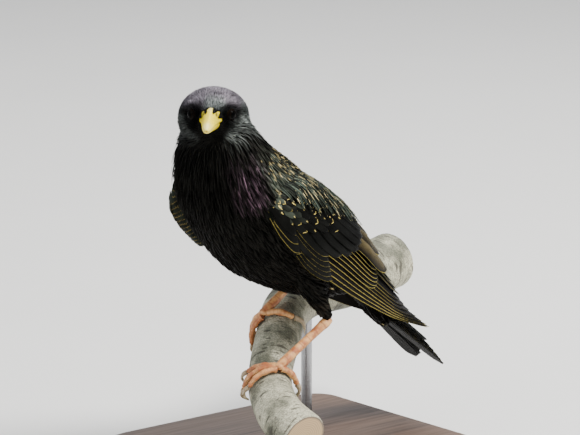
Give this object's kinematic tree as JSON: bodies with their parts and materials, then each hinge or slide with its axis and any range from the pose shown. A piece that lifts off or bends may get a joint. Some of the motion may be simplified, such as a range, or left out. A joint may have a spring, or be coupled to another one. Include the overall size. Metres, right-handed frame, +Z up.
{
  "type": "starling figure",
  "caption": "Life-size still model of a starling gripping a short cut branch, head turned to its left, held by rods on a flat display base.",
  "frame": {"origin": "middle of the underside of the stand's base, on the floor", "axes": "+Z up; the bird's body faces -Y and its left side is towards +X"},
  "size_m": [0.112, 0.1788, 0.1749],
  "materials": {
    "body_feathers": "black body feathers with a green and purple sheen, modelled in the scene as short overlapping feathers",
    "flight_feathers": "dark grey-brown flight feathers with thin buff edges",
    "bill": "satin yellow horn",
    "claw": "grey-brown horn, paler along its length",
    "leg_skin": "pink-orange scaled skin",
    "eye": "glossy dark brown eye",
    "bark": "pale grey smooth bark with small dark lenticels",
    "stand_wood": "dark stained wood, satin",
    "stand_metal": "plain brushed rod"
  },
  "bodies": {
    "root": {"bill_lower": "bill", "bill_upper": "bill", "claw_left_hind": "claw", "claw_left_inner": "claw", "claw_left_middle": "claw", "claw_left_outer": "claw", "claw_right_hind": "claw", "claw_right_inner": "claw", "claw_right_middle": "claw", "claw_right_outer": "claw", "eye_left": "eye", "eye_right": "eye", "foot_left": "leg_skin", "foot_right": "leg_skin", "head": "body_feathers", "neck": "body_feathers", "perch": "bark", "stand_base": "stand_wood", "stand_rod_far": "stand_metal", "stand_rod_near": "stand_metal", "tail": "flight_feathers", "tarsus_left": "leg_skin", "tarsus_right": "leg_skin", "thigh_left": "body_feathers", "thigh_right": "body_feathers", "torso": "body_feathers", "wing_left_coverts": "flight_feathers", "wing_left_primaries": "flight_feathers", "wing_left_secondaries": "flight_feathers", "wing_right_coverts": "flight_feathers", "wing_right_primaries": "flight_feathers", "wing_right_secondaries": "flight_feathers"}
  },
  "joints": []
}
